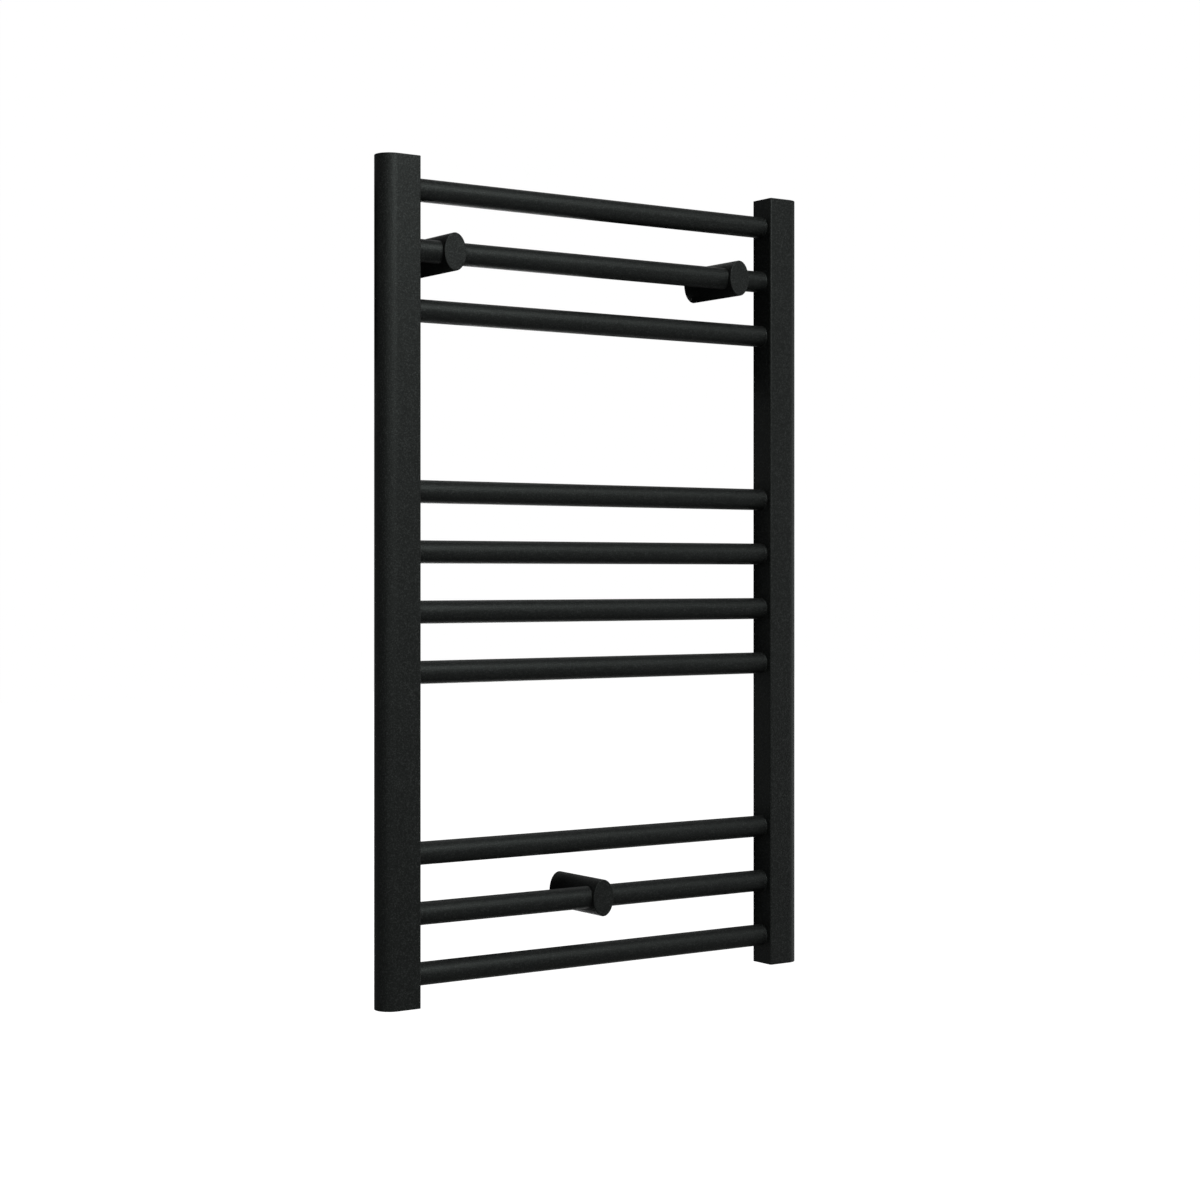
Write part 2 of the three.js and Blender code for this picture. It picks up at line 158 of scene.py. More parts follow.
NUT_FLATS = 20.0 * MM
NUT_DEPTH = 3.0 * MM
NUT_GAP = 0.3 * MM
NUT_CORE = 8.5 * MM
NUT_CROWN = (11.2 * MM, 11.6 * MM, 10.1 * MM)  # radii of the turned corners, front to back
NUT_CROWN_DEPTH = 0.7 * MM
NECK_RADIUS = 6.2 * MM
LIP_RADIUS = 6.9 * MM
LIP_DEPTH = 0.6 * MM
LIP_EDGE = 0.2 * MM
LIP_HEEL = 0.15 * MM
VENT_BORE = 2.8 * MM
COLLAR_RADIUS = 8.8 * MM
COLLAR_BORE = 6.5 * MM
COLLAR_EDGE = 0.4 * MM
COLLAR_RIBS = 36
RIB_DEPTH = 0.35 * MM
SPOUT_ROOT = 7.4 * MM
SPOUT_RADIUS = 1.6 * MM
SPOUT_LIP_RADIUS = 1.4 * MM
SPOUT_LIP = 0.3 * MM
SPOUT_BORE = 0.8 * MM
SPINDLE_TIP = 0.4 * MM
SPINDLE_CONE = 2.1 * MM
SPINDLE_CLEARANCE = 0.1 * MM
SQUARE_LENGTH = 3.0 * MM
SQUARE_EASE = 0.4 * MM
SQUARE_EDGE = 0.5 * MM
SQUARE_CORNER = 0.35 * MM

ROUND = 96  # points round a bar or a port
FINE = 48  # points round a screw
CROWN_POINTS = 72  # along an upright's round side
CORNER_POINTS = 8

# ---------------------------------------------------------------- camera, made first

CAMERA_AT = Vector((-1287.7, -1934.8, 320.9)) * MM
CAMERA_TURN = math.radians(-34.681)
CAMERA_LENS = 68.35
CAMERA_SHIFT_Y = -0.0215


def make_camera():
    data = bpy.data.cameras.new("camera")
    data.sensor_width = 36.0
    data.lens = CAMERA_LENS
    data.shift_y = CAMERA_SHIFT_Y
    data.clip_start = 0.01
    data.clip_end = 200.0
    camera = bpy.data.objects.new("camera", data)
    camera.location = CAMERA_AT
    camera.rotation_euler = (math.radians(90.0), 0.0, CAMERA_TURN)
    bpy.context.scene.collection.objects.link(camera)
    bpy.context.scene.camera = camera


make_camera()

# ---------------------------------------------------------------- materials


def new_material(name):
    material = bpy.data.materials.new(name)
    material.use_nodes = True
    nodes = material.node_tree.nodes
    shader = nodes["Principled BSDF"]
    return material, nodes, material.node_tree.links, shader


def object_coordinates(nodes):
    return nodes.new("ShaderNodeTexCoord").outputs["Object"]


def noise_texture(nodes, links, place, scale, detail=2.0, roughness=0.5):
    noise = nodes.new("ShaderNodeTexNoise")
    noise.inputs["Scale"].default_value = scale
    noise.inputs["Detail"].default_value = detail
    noise.inputs["Roughness"].default_value = roughness
    links.new(place, noise.inputs["Vector"])
    return noise.outputs["Fac"]


def ramp(nodes, links, value, stops):
    """Colour ramp over a value; stops are (position, colour)."""
    node = nodes.new("ShaderNodeValToRGB")
    elements = node.color_ramp.elements
    elements[0].position, elements[0].color = stops[0]
    elements[-1].position, elements[-1].color = stops[-1]
    for position, colour in stops[1:-1]:
        element = elements.new(position)
        element.color = colour
    links.new(value, node.inputs["Fac"])
    return node.outputs["Color"]


def spread(nodes, links, value, low, high):
    """A value of 0 to 1 moved to the range low to high."""
    node = nodes.new("ShaderNodeMapRange")
    node.inputs["To Min"].default_value = low
    node.inputs["To Max"].default_value = high
    links.new(value, node.inputs["Value"])
    return node.outputs["Result"]


def bump(nodes, links, height, distance, strength, under=None):
    node = nodes.new("ShaderNodeBump")
    node.inputs["Distance"].default_value = distance
    node.inputs["Strength"].default_value = strength
    links.new(height, node.inputs["Height"])
    if under is not None:
        links.new(under, node.inputs["Normal"])
    return node.outputs["Normal"]


def grey(level, tint=(1.0, 1.0, 1.0)):
    return (level * tint[0], level * tint[1], level * tint[2], 1.0)


COAT_TINT = (0.95, 1.03, 1.0)
COAT_LEVELS = (0.004, 0.009, 0.040)
COAT_SHEEN_TINT = (0.90, 1.0, 0.955, 1.0)
COAT_ROUGHNESS = (0.42, 0.51)
COAT_PATCHES = 22.0
COAT_SPECKLE = 850.0
COAT_GRAIN = 1500.0
COAT_STOPS = (0.36, 0.52, 0.68)
SPECKLE_BUMP = (0.35 * MM, 0.8)  # distance, strength
GRAIN_BUMP = (0.12 * MM, 0.5)
HAZE_BUMP = (0.02 * MM, 0.25)
SPARK_BUMP = (0.05 * MM, 0.4)
DULL_PLATING = 0.82  # duller patches, as a share of the plating's colour


def powder_coat():
    """Fine-textured black: pale sandy specks and grain, with a slightly uneven sheen."""
    material, nodes, links, shader = new_material("powder_coat")
    place = object_coordinates(nodes)
    patches = noise_texture(nodes, links, place, COAT_PATCHES, 3.0)
    speckle = noise_texture(nodes, links, place, COAT_SPECKLE, 2.0, 0.6)
    grain = noise_texture(nodes, links, place, COAT_GRAIN, 2.0, 0.6)
    tones = [grey(level, COAT_TINT) for level in COAT_LEVELS]
    colour = ramp(nodes, links, speckle, list(zip(COAT_STOPS, tones)))
    links.new(colour, shader.inputs["Base Color"])
    rough = spread(nodes, links, patches, *COAT_ROUGHNESS)
    links.new(rough, shader.inputs["Roughness"])
    soft = bump(nodes, links, speckle, *SPECKLE_BUMP)
    normal = bump(nodes, links, grain, *GRAIN_BUMP, soft)
    links.new(normal, shader.inputs["Normal"])
    shader.inputs["IOR"].default_value = 1.5
    shader.inputs["Specular Tint"].default_value = COAT_SHEEN_TINT
    return material


def plated(name, colour, low, high, scale):
    """Bright metal with fine turning haze and soft patches of duller plating."""
    material, nodes, links, shader = new_material(name)
    place = object_coordinates(nodes)
    patches = noise_texture(nodes, links, place, scale, 4.0, 0.6)
    haze = noise_texture(nodes, links, place, scale * 12, 2.0)
    dull = tuple(DULL_PLATING * part for part in colour)
    tone = ramp(nodes, links, patches, [(0.35, (*dull, 1.0)), (0.65, (*colour, 1.0))])
    links.new(tone, shader.inputs["Base Color"])
    links.new(spread(nodes, links, patches, low, high), shader.inputs["Roughness"])
    links.new(bump(nodes, links, haze, *HAZE_BUMP), shader.inputs["Normal"])
    shader.inputs["Metallic"].default_value = 1.0
    return material


def moulded(name, level, low, high, grain):
    """Black nylon or rubber with a fine spark-eroded grain."""
    material, nodes, links, shader = new_material(name)
    place = object_coordinates(nodes)
    speck = noise_texture(nodes, links, place, grain, 3.0, 0.6)
    tone = ramp(nodes, links, speck, [(0.3, grey(0.75 * level)), (0.7, grey(1.25 * level))])
    links.new(tone, shader.inputs["Base Color"])
    links.new(spread(nodes, links, speck, low, high), shader.inputs["Roughness"])
    links.new(bump(nodes, links, speck, *SPARK_BUMP), shader.inputs["Normal"])
    return material


MATERIALS = {
    "powder_coat": powder_coat(),
    "zinc_plate": plated("zinc_plate", (0.55, 0.57, 0.60), low=0.28, high=0.46, scale=260.0),
    "nickel": plated("nickel", (0.66, 0.64, 0.60), low=0.12, high=0.26, scale=180.0),
    "brass": plated("brass", (0.62, 0.43, 0.18), low=0.22, high=0.38, scale=220.0),
    "black_steel": plated("black_steel", (0.030, 0.031, 0.034), low=0.34, high=0.5, scale=400.0),
    "nylon": moulded("nylon", level=0.012, low=0.42, high=0.55, grain=2600.0),
    "rubber": moulded("rubber", level=0.010, low=0.7, high=0.85, grain=1800.0),
}

# ---------------------------------------------------------------- mesh tools


def mesh_object(name, points, faces):
    mesh = bpy.data.meshes.new(name)
    mesh.from_pydata([tuple(point) for point in points], [], faces)
    shape = bmesh.new()
    shape.from_mesh(mesh)
    bmesh.ops.remove_doubles(shape, verts=shape.verts, dist=1e-7)
    bmesh.ops.recalc_face_normals(shape, faces=shape.faces)
    shape.to_mesh(mesh)
    shape.free()
    piece = bpy.data.objects.new(name, mesh)
    bpy.context.scene.collection.objects.link(piece)
    return piece


def loft(name, loops, ring=False):
    """Skin over loops of equal length, closed at the ends, or back on itself for a ring."""
    count = len(loops[0])
    points = [point for loop in loops for point in loop]
    faces = []
    spans = len(loops) if ring else len(loops) - 1
    for span in range(spans):
        here, there = span * count, ((span + 1) % len(loops)) * count
        for step in range(count):
            after = (step + 1) % count
            faces.append((here + step, here + after, there + after, there + step))
    if not ring:
        faces.append(tuple(range(count)))
        faces.append(tuple(range((len(loops) - 1) * count, len(loops) * count)))
    return mesh_object(name, points, faces)


def along(axis, here, first, second):
    """A point at a place on an axis, with the two other coordinates in X, Y, Z order."""
    if axis == "x":
        return Vector((here, first, second))
    if axis == "y":
        return Vector((first, here, second))
    return Vector((first, second, here))


def ring_loop(axis, centre, here, radius, count):
    """Circle round an axis; centre holds the other two coordinates."""
    loop = []
    for step in range(count):
        angle = 2 * math.pi * step / count
        first = centre[0] + radius * math.cos(angle)
        second = centre[1] + radius * math.sin(angle)
        loop.append(along(axis, here, first, second))
    return loop


def turned(name, axis, centre, profile, count, ring=False):
    """Lathe: profile is (place along the axis, radius)."""
    loops = [ring_loop(axis, centre, here, radius, count) for here, radius in profile]
    return loft(name, loops, ring)


def arc_points(centre, radius, start, stop, steps):
    """Points of an arc, angles in degrees."""
    points = []
    for step in range(steps + 1):
        angle = math.radians(start + (stop - start) * step / steps)
        points.append((centre[0] + radius * math.cos(angle), centre[1] + radius * math.sin(angle)))
    return points


def carve(piece, *tools, operation="DIFFERENCE"):
    """Cuts the tools out of a piece, or joins them to it, and removes the tools."""
    for tool in tools:
        modifier = piece.modifiers.new("carve", "BOOLEAN")
        modifier.operation = operation
        modifier.solver = "EXACT"
        modifier.object = tool
    graph = bpy.context.evaluated_depsgraph_get()
    mesh = bpy.data.meshes.new_from_object(piece.evaluated_get(graph), depsgraph=graph)
    piece.modifiers.clear()
    piece.data = mesh
    for tool in tools:
        bpy.data.objects.remove(tool)
    return piece


def finish_piece(piece, node, body="rack", sharp=38.0):
    """Gives a finished piece its shading, material and body, and hides the CAD node it stands for.
    """
    mesh = piece.data
    mesh.polygons.foreach_set("use_smooth", [True] * len(mesh.polygons))
    mesh.set_sharp_from_angle(angle=math.radians(sharp))
    weighted = piece.modifiers.new("weighted_normals", "WEIGHTED_NORMAL")
    weighted.keep_sharp = True
    slot = SLOTS[node]
    mesh.materials.clear()
    mesh.materials.append(MATERIALS[slot])
    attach(piece, body)
    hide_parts(node)
    return piece


def hexagon(name, axis, centre, here, there, across_flats):
    """Six-sided prism, such as a socket for a key."""
    radius = across_flats / math.sqrt(3)
    return turned(name, axis, centre, [(here, radius), (there, radius)], 6)


def centre_of(node):
    """X and Z of a node's middle, the axis of pieces that point at the wall."""
    low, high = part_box(node)
    return (low.x + high.x) / 2, (low.z + high.z) / 2


def screw_loops(axis, centre, start, stop, pitch, minor, major, count, steps=8):
    """Loops of a V thread between two places; minor and major are its radii."""
    loops = []
    total = max(2, round(abs(stop - start) / pitch * steps))
    for row in range(total + 1):
        here = start + (stop - start) * row / total
        fade = min(1.0, 2.0 * row / steps, 2.0 * (total - row) / steps)
        loop = []
        for step in range(count):
            angle = 2 * math.pi * step / count
            phase = ((here - start) / pitch - step / count) % 1.0
            crest = 1.0 - abs(2.0 * phase - 1.0)
            radius = minor + (major - minor) * crest * fade
            first = centre[0] + radius * math.cos(angle)
            second = centre[1] + radius * math.sin(angle)
            loop.append(along(axis, here, first, second))
        loops.append(loop)
    return loops


# ---------------------------------------------------------------- uprights and their ends


def d_loop(side, inset, z):
    """D section at a height: flat inner side, round outer side, two small corners."""
    half = UPRIGHT_DEPTH / 2 - inset
    corner = max(CORNER_RADIUS - inset, 0.2 * MM)
    inner = inset + corner
    crown = UPRIGHT_WIDTH - UPRIGHT_DEPTH / 2
    outline = arc_points((inner, -half + corner), corner, 180, 270, CORNER_POINTS)
    outline += arc_points((crown, 0.0), half, -90, 90, CROWN_POINTS)
    outline += arc_points((inner, half - corner), corner, 90, 180, CORNER_POINTS)
    return [Vector((side * (INNER_SIDE + x), UPRIGHT_Y + y, z)) for x, y in outline]


def rounded_end(low, high, edge, outer, steps=4):
    """(inset, z) pairs up one wall of a tube, with rounded ends."""
    pairs = []
    for step in range(steps + 1):
        angle = math.radians(90.0 * step / steps)
        pairs.append((outer + edge * (1 - math.sin(angle)), low + edge * (1 - math.cos(angle))))
    for step in range(steps + 1):
        angle = math.radians(90.0 * (1 - step / steps))
        pairs.append((outer + edge * (1 - math.sin(angle)), high - edge * (1 - math.cos(angle))))
    return pairs


def make_upright(side, word):
    name = f"upright_{word}"
    outside = rounded_end(BOTTOM, TOP, TUBE_EDGE, 0.0)
    loops = [d_loop(side, inset, z) for inset, z in outside]
    loops.append(d_loop(side, TUBE_WALL, TOP))
    loops.append(d_loop(side, TUBE_WALL, BOTTOM))
    tube = loft(f"{name}_shell", loops, ring=True)
    boss_x = side * (BOSS_LOW.x + BOSS_HIGH.x) / 2
    boss_z = (BOSS_LOW.z + BOSS_HIGH.z) / 2
    radius = (BOSS_HIGH.x - BOSS_LOW.x) / 2
    drill = [(BACK + OVERRUN, radius), (BOSS_LOW.y, radius)]
    carve(tube, turned("drill", "y", (boss_x, boss_z), drill, ROUND))
    return finish_piece(tube, name)


def make_top_plate(side, word):
    name = f"top_plate_{word}"
    pairs = rounded_end(PLATE_LOW.z, PLATE_HIGH.z, INSERT_EDGE, TUBE_WALL + INSERT_GAP)
    plate = loft(f"{name}_plate", [d_loop(side, inset, z) for inset, z in pairs])
    return finish_piece(plate, name)


def make_port_plug(side, word):
    """Insert in the lower end, tapped for a valve."""
    name = f"port_plug_{word}"
    low, high = PORT_LOW.z, PORT_HIGH.z
    pairs = rounded_end(low, high, INSERT_EDGE, TUBE_WALL + INSERT_GAP)
    plug = loft(f"{name}_insert", [d_loop(side, inset, z) for inset, z in pairs])
    centre = (side * (UPRIGHT_LOW.x + UPRIGHT_HIGH.x) / 2, UPRIGHT_Y)
    start, stop = low + PORT_LEAD, high + OVERRUN
    tap = [ring_loop("z", centre, low - OVERRUN, PORT_MOUTH + OVERRUN, ROUND)]
    tap += screw_loops("z", centre, start, stop, PORT_PITCH, PORT_MINOR, PORT_MAJOR, ROUND)
    carve(plug, loft("tap", tap))
    return finish_piece(plug, name)


# ---------------------------------------------------------------- bars


def make_bar(name):
    """Round tube, with a small weld round each end where it meets the upright."""
    low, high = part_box(name)
    z = (low.z + high.z) / 2
    face = INNER_SIDE + WELD_FOOT
    profile = [(BAR_END, BAR_RADIUS - BAR_WALL), (BAR_END, BAR_RADIUS), (face, BAR_RADIUS)]
    flare = arc_points((face - WELD_SIZE, BAR_RADIUS + WELD_SIZE), WELD_SIZE, 0, -90, 8)
    profile += flare
    mirrored = [(-x, radius) for x, radius in reversed(profile)]
    tube = turned(f"{name}_tube", "x", (BAR_Y, z), profile + mirrored, ROUND, ring=True)
    return finish_piece(tube, name)


# ---------------------------------------------------------------- wall brackets


def oval_loop(centre, inset, y):
    loop = []
    for step in range(ROUND):
        angle = 2 * math.pi * step / ROUND
        x = centre[0] + (OVAL_X - inset) * math.cos(angle)
        z = centre[1] + (OVAL_Z - inset) * math.sin(angle)
        loop.append(Vector((x, y, z)))
    return loop


def saddle(centre):
    radius = BAR_RADIUS + SADDLE_GAP
    ends = [(centre[0] - 2 * OVAL_X, radius), (centre[0] + 2 * OVAL_X, radius)]
    return turned("saddle", "x", (BAR_Y, centre[1]), ends, ROUND)


def clamp_places(centre):
    offset = (CLAMP_LOW.z + CLAMP_HIGH.z) / 2
    return [(centre[0], centre[1] + offset), (centre[0], centre[1] - offset)]


def clamp_drills(centre):
    ends = [(OVERRUN - SLEEVE_CAVITY, CLAMP_DRILL), (CLAMP_LOW.y - CLAMP_ROOM, CLAMP_DRILL)]
    return [turned("drill", "y", place, ends, FINE) for place in clamp_places(centre)]


def make_cap(word, centre):
    """Front half of the bracket: a flat disc with a softly rounded rim."""
    name = f"cap_{word}"
    front = CAP_LOW.y
    loops = [oval_loop(centre, 0.0, BAR_Y - SEAM / 2)]
    for out, forward in arc_points((0.0, 0.0), DISC_EDGE, 0, 90, 6):
        loops.append(oval_loop(centre, DISC_EDGE - out, front + DISC_EDGE - forward))
    cap = loft(f"{name}_disc", loops)
    carve(cap, saddle(centre), *clamp_drills(centre))
    return finish_piece(cap, name, sharp=30.0)


def make_sleeve(word, centre):
    """Rear half of the bracket: an oval tube that slides over its wall post."""
    name = f"sleeve_{word}"
    rear = SLEEVE_HIGH.y
    loops = [oval_loop(centre, 0.0, BAR_Y + SEAM / 2)]
    loops.append(oval_loop(centre, 0.0, rear - SLEEVE_REAR_EDGE))
    loops.append(oval_loop(centre, SLEEVE_REAR_EDGE, rear))
    loops.append(oval_loop(centre, SLEEVE_WALL, rear))
    loops.append(oval_loop(centre, SLEEVE_WALL, -SLEEVE_CAVITY))
    sleeve = loft(f"{name}_tube", loops)
    grub_y = (GRUB_LOW.y + GRUB_HIGH.y) / 2
    hole = (GRUB_HIGH.x - GRUB_LOW.x) / 2 + GRUB_GAP
    ends = [(centre[1] - OVAL_Z - OVERRUN, hole), (centre[1] - OVAL_Z / 2, hole)]
    drill = turned("drill", "z", (centre[0], grub_y), ends, FINE)
    carve(sleeve, saddle(centre), *clamp_drills(centre), drill)
    return finish_piece(sleeve, name, sharp=30.0)


def wall_screw_drills(centre):
    """Countersunk holes through the post's base, 45 degrees under the screws' heads."""
    neck = WALL_SCREW_HEAD - WALL_SCREW_RADIUS - POST_BASE
    profile = [(OVERRUN, WALL_SCREW_RADIUS), (neck, WALL_SCREW_RADIUS)]
    profile += [(-POST_BASE - OVERRUN, WALL_SCREW_HEAD + OVERRUN)]
    places = [(centre[0], centre[1] + z) for z in (WALL_SCREW_Z, -WALL_SCREW_Z)]
    return [turned("drill", "y", place, profile, FINE) for place in places]


def keyway_cutter(centre, bottom):
    """Block that cuts the flat-bottomed keyway for the grub screw."""
    loops = []
    for y in (-KEYWAY_START, POST_LOW.y - OVERRUN):
        loop = []
        for x, z in ((-1, -1), (1, -1), (1, 1), (-1, 1)):
            loop.append(Vector((centre[0] + x * KEYWAY_WIDTH / 2, y, bottom + z * KEYWAY_DEPTH)))
        loops.append(loop)
    return loft("keyway", loops)


def make_wall_post(word, centre):
    """Cup fixed to the wall by two countersunk screws, with a keyway along its underside."""
    name = f"wall_post_{word}"
    inset = OVAL_X - (POST_HIGH.x - POST_LOW.x) / 2
    free = POST_LOW.y
    loops = [
        oval_loop(centre, inset + POST_EDGE, 0.0),
        oval_loop(centre, inset, -POST_EDGE),
        oval_loop(centre, inset, free + POST_EDGE),
        oval_loop(centre, inset + POST_EDGE, free),
        oval_loop(centre, inset + POST_WALL, free),
        oval_loop(centre, inset + POST_WALL, -POST_BASE),
    ]
    post = loft(f"{name}_cup", loops)
    keyway = keyway_cutter(centre, centre[1] - OVAL_Z + inset)
    carve(post, *wall_screw_drills(centre), keyway)
    return finish_piece(post, name, body="wall_posts", sharp=30.0)


def make_clamp_screw(word, place):
    """Cap-head screw from inside the sleeve into the cap."""
    name = f"clamp_screw_{word}_{place}"
    low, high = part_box(name)
    at = centre_of(name)
    radius = (high.x - low.x) / 2
    shank, end = high.y - CLAMP_HEAD, low.y + CLAMP_TAPER
    loops = [
        ring_loop("y", at, high.y, radius - CLAMP_EDGE, FINE),
        ring_loop("y", at, high.y - CLAMP_EDGE, radius, FINE),
        ring_loop("y", at, shank, radius, FINE),
    ]
    loops += screw_loops("y", at, shank, end, CLAMP_PITCH, CLAMP_MINOR, CLAMP_MAJOR, FINE)
    loops += [ring_loop("y", at, low.y, CLAMP_TIP, FINE)]
    screw = loft(f"{name}_cap_head", loops)
    carve(screw, hexagon("key", "y", at, high.y + OVERRUN, high.y - KEY_DEPTH, KEY_FLATS))
    return finish_piece(screw, name)


def make_grub_screw(word):
    name = f"grub_screw_{word}"
    low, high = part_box(name)
    at = ((low.x + high.x) / 2, (low.y + high.y) / 2)
    radius = (high.x - low.x) / 2
    start, stop = low.z + GRUB_LEAD, high.z - GRUB_TAPER
    loops = [ring_loop("z", at, low.z, radius - GRUB_RIM, FINE)]
    loops += screw_loops("z", at, start, stop, GRUB_PITCH, radius - GRUB_THREAD, radius, FINE)
    loops += [ring_loop("z", at, high.z, radius - GRUB_TIP, FINE)]
    screw = loft(f"{name}_set", loops)
    carve(screw, hexagon("key", "z", at, low.z - OVERRUN, low.z + KEY_DEPTH, KEY_FLATS))
    return finish_piece(screw, name, body=name)


def make_bracket(word):
    centre = centre_of(f"cap_{word}")
    make_cap(word, centre)
    make_sleeve(word, centre)
    make_wall_post(word, centre)
    for place in ("top", "bottom"):
        make_clamp_screw(word, place)
    make_grub_screw(word)


# ---------------------------------------------------------------- rear ports


def make_boss(node):
    """Tapped ring welded into the upright's back, with a small weld round it."""
    low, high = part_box(node)
    radius = (high.x - low.x) / 2
    foot, shoulder = BACK - WELD_FOOT, high.y - BOSS_EDGE
    weld = arc_points((BACK + WELD_SIZE, radius + WELD_SIZE), WELD_SIZE, 180, 270, 6)
    profile = [(low.y, BOSS_BORE), (low.y, radius - BOSS_GAP), (foot, radius - BOSS_GAP)]
    profile += [(foot, radius + WELD_SIZE)]
    profile += [(y, reach) for y, reach in weld if y < shoulder]
    profile += [(shoulder, radius), (high.y, radius - BOSS_EDGE)]
    profile += [(high.y, BOSS_BORE + BOSS_EDGE), (shoulder, BOSS_BORE)]
    ring = turned(f"{node}_ring", "y", centre_of(node), profile, ROUND, ring=True)
    return finish_piece(ring, node)


def make_seal(node):
    """Flat rubber washer with a rounded rim, where it bulges as it is squeezed."""
    low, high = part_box(node)
    middle, half = (low.y + high.y) / 2, (high.y - low.y) / 2
    rim = arc_points((middle, (high.x - low.x) / 2 - half), half, 0, 180, 12)
    profile = [(high.y, BOSS_BORE), *rim, (low.y, BOSS_BORE)]
    ring = turned(f"{node}_washer", "y", centre_of(node), profile, ROUND, ring=True)
    return finish_piece(ring, node)


def threaded_shank(at, start, stop):
    """Loops of a G1/2 shank, from its tip to the flange."""
    tip = [ring_loop("y", at, start, THREAD_TIP, ROUND)]
    first = start + THREAD_LEAD
    return tip + screw_loops("y", at, first, stop, PORT_PITCH, THREAD_MINOR, THREAD_MAJOR, ROUND)


def make_blanking_plug():
    """Flanged plug with a socket for a hexagon key."""
    name = "blanking_plug"
    at = centre_of(name)
    back = PLUG_HIGH.y
    flange = (PLUG_HIGH.x - PLUG_LOW.x) / 2
    under = back - FLANGE_DEPTH
    loops = threaded_shank(at, PLUG_LOW.y, under - THREAD_END)
    loops += [
        ring_loop("y", at, under, SHANK_RADIUS, ROUND),
        ring_loop("y", at, under, flange - FLANGE_HEEL, ROUND),
        ring_loop("y", at, under + FLANGE_HEEL, flange, ROUND),
    ]
    for y, radius in arc_points((back - FLANGE_EDGE, flange - FLANGE_EDGE), FLANGE_EDGE, 90, 0, 5):
        loops.append(ring_loop("y", at, y, radius, ROUND))
    plug = loft(f"{name}_body", loops)
    key = hexagon("key", "y", at, back + OVERRUN, back - PLUG_KEY_DEPTH, PLUG_KEY_FLATS)
    mouth = [(back + y, radius) for y, radius in PLUG_MOUTH]
    carve(plug, key, turned("mouth", "y", at, mouth, ROUND))
    return finish_piece(plug, name)


def make_nut(at, front, back):
    """Hexagon whose corners are turned down towards the back."""
    overlap = 0.01 * MM
    crown = [
        (front - overlap, NUT_CROWN[0]),
        (back - NUT_CROWN_DEPTH, NUT_CROWN[1]),
        (back + overlap, NUT_CROWN[2]),
    ]
    nut = hexagon("nut", "y", at, front, back, NUT_FLATS)
    return carve(nut, turned("crown", "y", at, crown, ROUND), operation="INTERSECT")


def make_vent_body():
    """Vent body: threaded shank, hexagon, neck and the lip that keeps the nozzle on."""
    name = "vent_body"
    at = centre_of("vent_boss")
    hex_back = NOZZLE_LOW.y - NUT_GAP
    hex_front = hex_back - NUT_DEPTH
    end = VENT_HIGH.y
    lip_front = end - LIP_DEPTH
    loops = threaded_shank(at, VENT_LOW.y, hex_front - THREAD_END)
    for y, radius in (
        (hex_front, SHANK_RADIUS),
        (hex_front, NUT_CORE),
        (hex_back, NUT_CORE),
        (hex_back, NECK_RADIUS),
        (lip_front, NECK_RADIUS),
        (lip_front, LIP_RADIUS - LIP_HEEL),
        (lip_front + LIP_HEEL, LIP_RADIUS),
        (end - LIP_EDGE, LIP_RADIUS),
        (end, LIP_RADIUS - LIP_EDGE),
    ):
        loops.append(ring_loop("y", at, y, radius, ROUND))
    body = loft(f"{name}_turned", loops)
    carve(body, make_nut(at, hex_front, hex_back), operation="UNION")
    bore = [(VENT_LOW.y - OVERRUN, VENT_BORE), (end + OVERRUN, VENT_BORE)]
    carve(body, turned("bore", "y", at, bore, FINE))
    return finish_piece(body, name)


def ribbed_loop(at, y, ease, ribbed, count):
    """Outline of the nozzle's collar; ribbed is 1 for full ribs and 0 for none."""
    loop = []
    for step in range(count):
        angle = 2 * math.pi * step / count
        wave = 0.5 + 0.5 * math.cos(COLLAR_RIBS * angle)
        radius = COLLAR_RADIUS - ease - RIB_DEPTH * ribbed * wave
        x = at[0] + radius * math.cos(angle)
        z = at[1] + radius * math.sin(angle)
        loop.append(Vector((x, y, z)))
    return loop


def make_vent_nozzle():
    """Ribbed collar with a small drip spout below."""
    name = "vent_nozzle"
    at = centre_of("vent_boss")
    low, high = NOZZLE_LOW.y, NOZZLE_HIGH.y
    count = COLLAR_RIBS * 6
    loops = [
        ribbed_loop(at, low, COLLAR_EDGE, 0.0, count),
        ribbed_loop(at, low + COLLAR_EDGE, 0.0, 1.0, count),
        ribbed_loop(at, high - COLLAR_EDGE, 0.0, 1.0, count),
        ribbed_loop(at, high, COLLAR_EDGE, 0.0, count),
        ring_loop("y", at, high, COLLAR_BORE, count),
        ring_loop("y", at, low, COLLAR_BORE, count),
    ]
    collar = loft(f"{name}_collar", loops, ring=True)
    spout_at = (at[0], (low + high) / 2)
    mouth = NOZZLE_LOW.z
    spout = [
        (at[1] - SPOUT_ROOT, SPOUT_RADIUS),
        (mouth + SPOUT_LIP, SPOUT_RADIUS),
        (mouth, SPOUT_LIP_RADIUS),
    ]
    carve(collar, turned("spout", "z", spout_at, spout, FINE), operation="UNION")
    hole = [(mouth - OVERRUN, SPOUT_BORE), (at[1], SPOUT_BORE)]
    carve(collar, turned("hole", "z", spout_at, hole, FINE))
    return finish_piece(collar, name, body=name)


def square_loop(at, y, reach):
    """Square with rounded corners, reach from its middle to each side."""
    loop = []
    for turn, (side_x, side_z) in zip((0, 90, 180, 270), ((1, 1), (-1, 1), (-1, -1), (1, -1))):
        offset = reach - SQUARE_CORNER
        middle = (at[0] + side_x * offset, at[1] + side_z * offset)
        corner = arc_points(middle, SQUARE_CORNER, turn, turn + 90, 4)
        loop += [Vector((x, y, z)) for x, z in corner]
    return loop


